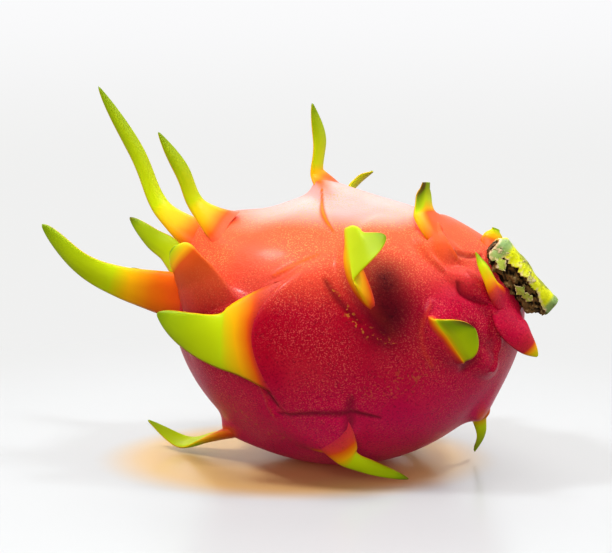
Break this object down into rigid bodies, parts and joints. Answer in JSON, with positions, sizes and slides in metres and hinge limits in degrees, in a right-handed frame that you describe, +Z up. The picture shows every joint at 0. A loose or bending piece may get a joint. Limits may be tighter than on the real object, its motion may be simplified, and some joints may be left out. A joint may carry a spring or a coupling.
{
  "type": "dragon fruit",
  "caption": "Whole pitaya lying on its side, with a leathery ovoid body, leaf-like bracts, a crown of long bracts at the blossom end and a cut stem stub.",
  "frame": {"origin": "on the surface the fruit rests on, under the middle of the whole object's box", "axes": "+X to the stem end, -X to the crown of bracts at the blossom end, -Y to the front, +Z up"},
  "size_m": [0.1569, 0.102, 0.1181],
  "materials": {
    "rind": "waxy crimson to coral fruit skin, soft gloss",
    "leaf": "fleshy bract, red at the root, orange then lime green to a dark green tip",
    "cork": "dull green cactus skin over brown corky tissue"
  },
  "bodies": {
    "root": {"fruit_body": "rind", "front_bract": "leaf", "front_upper_bract": "leaf", "front_right_bract": "leaf", "top_bract": "leaf", "back_top_bract": "leaf", "bottom_front_bract": "leaf", "bottom_left_bract": "leaf", "bottom_right_bract": "leaf", "crown_left_bract": "leaf", "crown_tall_bract": "leaf", "crown_near_bract": "leaf", "crown_folded_bract": "leaf", "crown_small_bract": "leaf", "crown_back_bract": "leaf", "crown_rear_bract": "leaf", "crown_low_bract": "leaf", "shoulder_bract": "leaf", "stem_front_bract": "leaf", "stem_back_bract": "leaf", "stem_lower_bract": "leaf", "stem_under_bract": "leaf", "rear_bract": "leaf", "rear_upper_bract": "leaf", "rear_low_bract": "leaf", "rear_right_bract": "leaf", "rear_shoulder_bract": "leaf", "rear_bottom_bract": "leaf", "cut_stem": "cork"}
  },
  "joints": []
}
